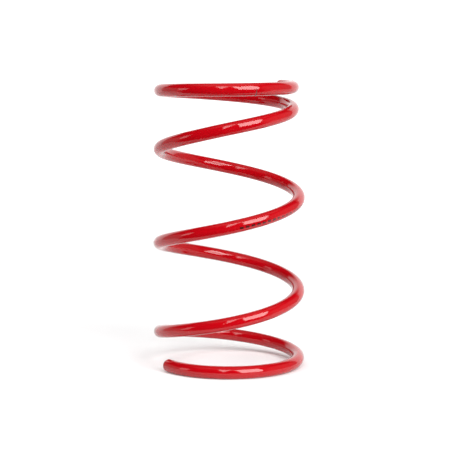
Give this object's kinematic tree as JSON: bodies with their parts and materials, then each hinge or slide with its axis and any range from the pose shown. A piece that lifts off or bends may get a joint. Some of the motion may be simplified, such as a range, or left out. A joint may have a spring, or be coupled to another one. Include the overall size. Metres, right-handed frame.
{
  "type": "coil spring",
  "caption": "Helical compression spring of round wire with one flat open end coil and one closed, tucked end coil, for a car's suspension.",
  "frame": {"origin": "on the coil axis, in the plane that the spring stands on", "axes": "+Z along the coil axis from the lower to the upper end coil; coil angles count anticlockwise from +X, and the lower cut end lies near -X"},
  "size_m": [0.1501, 0.15, 0.2836],
  "materials": {
    "powder_coated_wire": "high-gloss red powder coat on spring steel wire"
  },
  "bodies": {
    "lower_end_coil": {"lower_end_coil": "powder_coated_wire"},
    "wire_arc_01": {"wire_arc_01": "powder_coated_wire"},
    "wire_arc_02": {"wire_arc_02": "powder_coated_wire"},
    "wire_arc_03": {"wire_arc_03": "powder_coated_wire"},
    "wire_arc_04": {"wire_arc_04": "powder_coated_wire"},
    "wire_arc_05": {"wire_arc_05": "powder_coated_wire"},
    "wire_arc_06": {"wire_arc_06": "powder_coated_wire"},
    "wire_arc_07": {"wire_arc_07": "powder_coated_wire"},
    "wire_arc_08": {"wire_arc_08": "powder_coated_wire"},
    "wire_arc_09": {"wire_arc_09": "powder_coated_wire"},
    "wire_arc_10": {"wire_arc_10": "powder_coated_wire"},
    "wire_arc_11": {"wire_arc_11": "powder_coated_wire"},
    "wire_arc_12": {"wire_arc_12": "powder_coated_wire"},
    "wire_arc_13": {"wire_arc_13": "powder_coated_wire"},
    "wire_arc_14": {"wire_arc_14": "powder_coated_wire"},
    "wire_arc_15": {"wire_arc_15": "powder_coated_wire"},
    "wire_arc_16": {"wire_arc_16": "powder_coated_wire"},
    "upper_end_coil": {"upper_end_coil": "powder_coated_wire"}
  },
  "joints": [
    {"name": "compression", "type": "slide", "parent": "lower_end_coil", "child": "upper_end_coil", "axis": [0, 0, 1], "range_m": [-0.15, 0], "stiffness_N_per_m": 30000},
    {"name": "twist_01", "type": "hinge", "parent": "lower_end_coil", "child": "wire_arc_01", "pos_m": [0.0527, 0.04422, 0.01066], "axis": [-0.5963, 0.7981, 0.0863], "range_deg": [-2.6, 0], "stiffness_Nm_per_rad": 100},
    {"name": "twist_02", "type": "hinge", "parent": "wire_arc_01", "child": "wire_arc_02", "pos_m": [-0.02126, 0.06543, 0.01946], "axis": [-0.941, -0.3336, 0.0565], "range_deg": [-3.4, 0], "stiffness_Nm_per_rad": 100},
    {"name": "twist_03", "type": "hinge", "parent": "wire_arc_02", "child": "wire_arc_03", "pos_m": [-0.06863, 0.0048, 0.03172], "axis": [-0.0487, -0.9988, 0.0101], "range_deg": [-5.49, 0], "stiffness_Nm_per_rad": 100},
    {"name": "twist_04", "type": "hinge", "parent": "wire_arc_03", "child": "wire_arc_04", "pos_m": [-0.03016, -0.06184, 0.04642], "axis": [0.8995, -0.4364, 0.0194], "range_deg": [-7.45, 0], "stiffness_Nm_per_rad": 100},
    {"name": "twist_05", "type": "hinge", "parent": "wire_arc_04", "child": "wire_arc_05", "pos_m": [0.04604, -0.05113, 0.0627], "axis": [0.7413, 0.6696, 0.0467], "range_deg": [-8.64, 0], "stiffness_Nm_per_rad": 100},
    {"name": "twist_06", "type": "hinge", "parent": "wire_arc_05", "child": "wire_arc_06", "pos_m": [0.06465, 0.02353, 0.07985], "axis": [-0.3395, 0.9382, 0.0668], "range_deg": [-9.19, 0], "stiffness_Nm_per_rad": 100},
    {"name": "twist_07", "type": "hinge", "parent": "wire_arc_06", "child": "wire_arc_07", "pos_m": [0.0024, 0.06876, 0.09736], "axis": [-0.9968, 0.0373, 0.0709], "range_deg": [-9.29, 0], "stiffness_Nm_per_rad": 70},
    {"name": "twist_08", "type": "hinge", "parent": "wire_arc_07", "child": "wire_arc_08", "pos_m": [-0.06285, 0.02798, 0.11492], "axis": [-0.4059, -0.9117, 0.0642], "range_deg": [-9.26, 0], "stiffness_Nm_per_rad": 10},
    {"name": "twist_09", "type": "hinge", "parent": "wire_arc_10", "child": "wire_arc_09", "pos_m": [0.02577, -0.06379, 0.15006], "axis": [0.9264, 0.3725, 0.0555], "range_deg": [0, 9.22], "stiffness_Nm_per_rad": 10},
    {"name": "twist_10", "type": "hinge", "parent": "wire_arc_11", "child": "wire_arc_10", "pos_m": [0.0688, 0, 0.16762], "axis": [0.001, 0.9975, 0.0701], "range_deg": [0, 9.21], "stiffness_Nm_per_rad": 70},
    {"name": "twist_11", "type": "hinge", "parent": "wire_arc_12", "child": "wire_arc_11", "pos_m": [0.02577, 0.06379, 0.18519], "axis": [-0.9263, 0.3673, 0.0843], "range_deg": [0, 9.41], "stiffness_Nm_per_rad": 100},
    {"name": "twist_12", "type": "hinge", "parent": "wire_arc_13", "child": "wire_arc_12", "pos_m": [-0.04947, 0.04759, 0.20276], "axis": [-0.6819, -0.7286, 0.0647], "range_deg": [0, 9.53], "stiffness_Nm_per_rad": 100},
    {"name": "twist_13", "type": "hinge", "parent": "wire_arc_14", "child": "wire_arc_13", "pos_m": [-0.06228, -0.02707, 0.22032], "axis": [0.4093, -0.9122, 0.0176], "range_deg": [0, 8.57], "stiffness_Nm_per_rad": 100},
    {"name": "twist_14", "type": "hinge", "parent": "wire_arc_15", "child": "wire_arc_14", "pos_m": [-0.00021, -0.065, 0.23785], "axis": [0.9997, 0.0142, -0.0198], "range_deg": [0, 6.42], "stiffness_Nm_per_rad": 100},
    {"name": "twist_15", "type": "hinge", "parent": "wire_arc_16", "child": "wire_arc_15", "pos_m": [0.0586, -0.02224, 0.25166], "axis": [0.3581, 0.933, 0.0363], "range_deg": [0, 4.43], "stiffness_Nm_per_rad": 100},
    {"name": "twist_16", "type": "hinge", "parent": "upper_end_coil", "child": "wire_arc_16", "pos_m": [0.041, 0.04832, 0.26169], "axis": [-0.7702, 0.6228, 0.1372], "range_deg": [0, 3.99], "stiffness_Nm_per_rad": 100}
  ],
  "couplings": [
    {"joint": "twist_01", "follows": "compression", "rad_per_m": 0.30134},
    {"joint": "twist_02", "follows": "compression", "rad_per_m": 0.39346},
    {"joint": "twist_03", "follows": "compression", "rad_per_m": 0.63493},
    {"joint": "twist_04", "follows": "compression", "rad_per_m": 0.86211},
    {"joint": "twist_05", "follows": "compression", "rad_per_m": 1.0007},
    {"joint": "twist_06", "follows": "compression", "rad_per_m": 1.0642},
    {"joint": "twist_07", "follows": "compression", "rad_per_m": 1.0751},
    {"joint": "twist_08", "follows": "compression", "rad_per_m": 1.0715},
    {"joint": "twist_09", "follows": "compression", "rad_per_m": -1.0677},
    {"joint": "twist_10", "follows": "compression", "rad_per_m": -1.0657},
    {"joint": "twist_11", "follows": "compression", "rad_per_m": -1.0898},
    {"joint": "twist_12", "follows": "compression", "rad_per_m": -1.1032},
    {"joint": "twist_13", "follows": "compression", "rad_per_m": -0.99188},
    {"joint": "twist_14", "follows": "compression", "rad_per_m": -0.74262},
    {"joint": "twist_15", "follows": "compression", "rad_per_m": -0.51242},
    {"joint": "twist_16", "follows": "compression", "rad_per_m": -0.46143}
  ]
}
